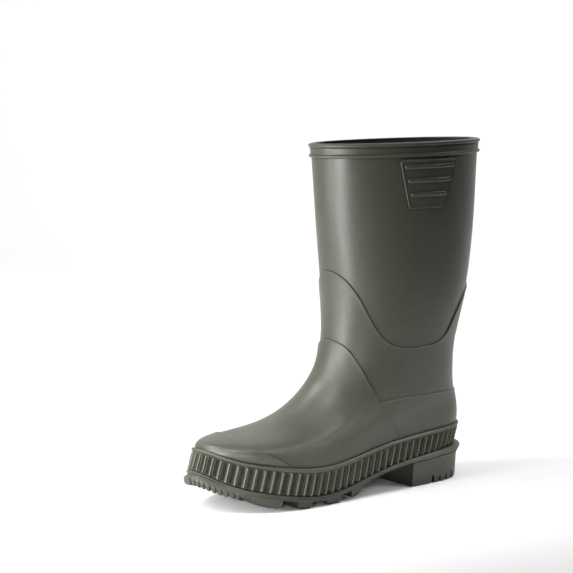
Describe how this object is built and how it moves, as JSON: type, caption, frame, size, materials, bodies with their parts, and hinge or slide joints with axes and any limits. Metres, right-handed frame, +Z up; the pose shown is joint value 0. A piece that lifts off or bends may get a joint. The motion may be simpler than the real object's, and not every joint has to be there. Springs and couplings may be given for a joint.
{
  "type": "rubber rain boot",
  "caption": "Left rubber rain boot for a child with textile lining, reinforced ankle, vamp and toe cap, ribbed foxing, lugged outsole and separate heel, standing flat.",
  "frame": {"origin": "on the floor, under the middle of the overall bounding box", "axes": "+Z up the leg, -Y towards the toe, +Y towards the heel, +X towards the outer (lateral) side of a left foot"},
  "size_m": [0.0962, 0.2398, 0.2464],
  "materials": {
    "rubber": "matte, lightly waxed olive grey",
    "sole_rubber": "matte olive grey, slightly rougher than the upper",
    "lining_fabric": "knitted textile, dark grey",
    "filler_foam": "sponge rubber",
    "insole_fibre": "fibre board",
    "footbed_fabric": "textile over thin foam"
  },
  "bodies": {
    "root": {"leg_shell": "rubber", "lining": "lining_fabric", "ankle_band": "rubber", "vamp": "rubber", "heel_counter": "rubber", "toe_cap": "rubber", "rim_band": "rubber", "rim_bead": "rubber", "lateral_patch": "rubber", "medial_patch": "rubber", "back_tab": "rubber", "foxing": "rubber", "foxing_bead": "rubber", "outsole": "sole_rubber", "heel_block": "sole_rubber", "sole_filler": "filler_foam", "insole_board": "insole_fibre", "footbed": "footbed_fabric"}
  },
  "joints": []
}
